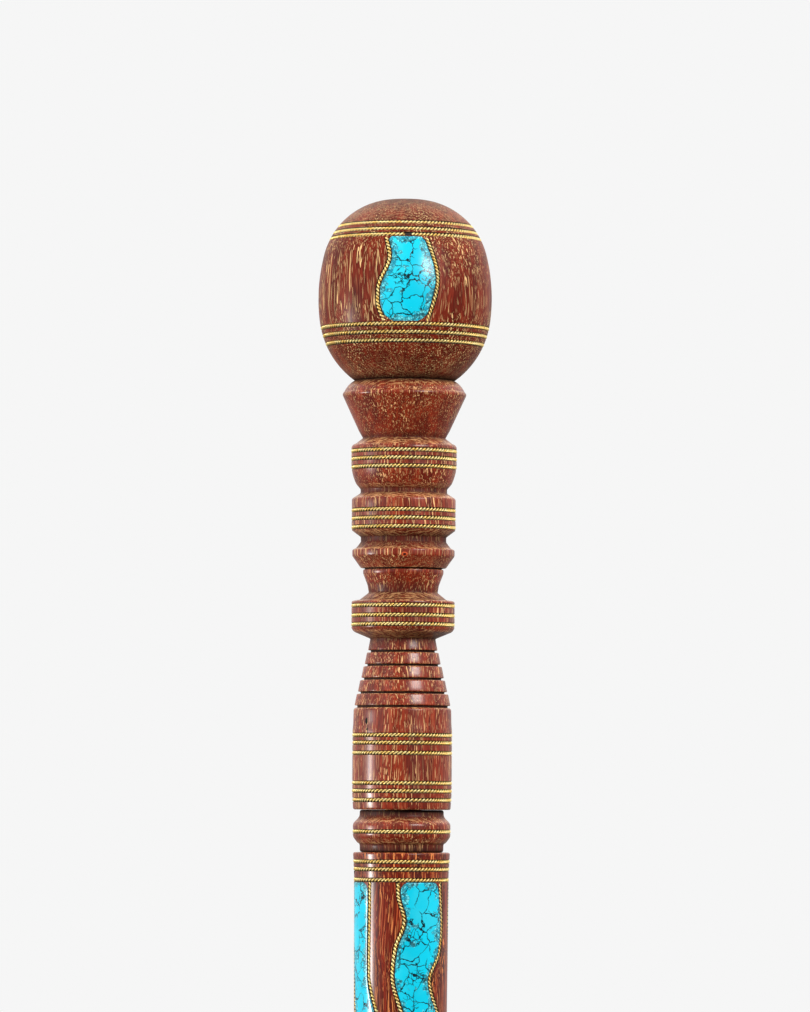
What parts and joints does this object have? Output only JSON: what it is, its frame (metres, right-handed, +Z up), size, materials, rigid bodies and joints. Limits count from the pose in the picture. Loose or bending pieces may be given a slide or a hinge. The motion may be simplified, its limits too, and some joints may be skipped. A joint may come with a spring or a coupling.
{
  "type": "walking stick",
  "caption": "Knob-handled wooden walking stick with turned collars, twisted brass wire rings, turquoise panels, a screw joint and a rubber ferrule.",
  "frame": {"origin": "centre of the ferrule's sole, where the stick meets the ground", "axes": "+Z up along the stick to the knob, -Y towards the front panel of the knob"},
  "size_m": [0.046, 0.046, 0.92],
  "materials": {
    "hardwood": "polished",
    "brass_wire": "polished",
    "turquoise": "polished",
    "brass": "machined",
    "steel": "zinc plated",
    "rubber": "matte"
  },
  "bodies": {
    "handle": {"knob": "hardwood", "grip": "hardwood", "knob_stud": "steel", "joint_stud": "brass", "barrel_lower_wire_1": "brass_wire", "barrel_lower_wire_2": "brass_wire", "barrel_lower_wire_3": "brass_wire", "barrel_upper_wire_1": "brass_wire", "barrel_upper_wire_2": "brass_wire", "barrel_upper_wire_3": "brass_wire", "collar_a_wire_1": "brass_wire", "collar_a_wire_2": "brass_wire", "collar_a_wire_3": "brass_wire", "collar_b_wire_1": "brass_wire", "collar_b_wire_2": "brass_wire", "collar_b_wire_3": "brass_wire", "collar_e_wire_1": "brass_wire", "collar_e_wire_2": "brass_wire", "collar_e_wire_3": "brass_wire", "knob_border_1_left": "brass_wire", "knob_border_1_right": "brass_wire", "knob_border_2_left": "brass_wire", "knob_border_2_right": "brass_wire", "knob_border_3_left": "brass_wire", "knob_border_3_right": "brass_wire", "knob_lower_wire_1": "brass_wire", "knob_lower_wire_2": "brass_wire", "knob_lower_wire_3": "brass_wire", "knob_turquoise_1": "turquoise", "knob_turquoise_2": "turquoise", "knob_turquoise_3": "turquoise", "knob_upper_wire_1": "brass_wire", "knob_upper_wire_2": "brass_wire", "knob_upper_wire_3": "brass_wire"},
    "joint_bead": {"joint_bead": "hardwood", "joint_bead_wire_1": "brass_wire"},
    "shaft": {"shaft": "hardwood", "joint_insert": "brass", "rubber_ferrule": "rubber", "ferrule_washer": "steel", "shaft_border_1_left": "brass_wire", "shaft_border_1_right": "brass_wire", "shaft_border_2_left": "brass_wire", "shaft_border_2_right": "brass_wire", "shaft_border_3_left": "brass_wire", "shaft_border_3_right": "brass_wire", "shaft_border_4_left": "brass_wire", "shaft_border_4_right": "brass_wire", "shaft_lower_wire_1": "brass_wire", "shaft_lower_wire_2": "brass_wire", "shaft_lower_wire_3": "brass_wire", "shaft_turquoise_1": "turquoise", "shaft_turquoise_2": "turquoise", "shaft_turquoise_3": "turquoise", "shaft_turquoise_4": "turquoise", "shaft_upper_wire_1": "brass_wire", "shaft_upper_wire_2": "brass_wire", "shaft_upper_wire_3": "brass_wire"}
  },
  "joints": [
    {"name": "bead_lift", "type": "slide", "parent": "shaft", "child": "joint_bead", "axis": [0, 0, 1], "range_m": [0, 0.015]},
    {"name": "handle_unscrew", "type": "hinge", "parent": "joint_bead", "child": "handle", "pos_m": [0, 0, 0.747], "axis": [0, 0, 1], "range_deg": [0, 3600]}
  ],
  "couplings": [
    {"joint": "handle_unscrew", "follows": "bead_lift", "rad_per_m": 4188.8}
  ]
}
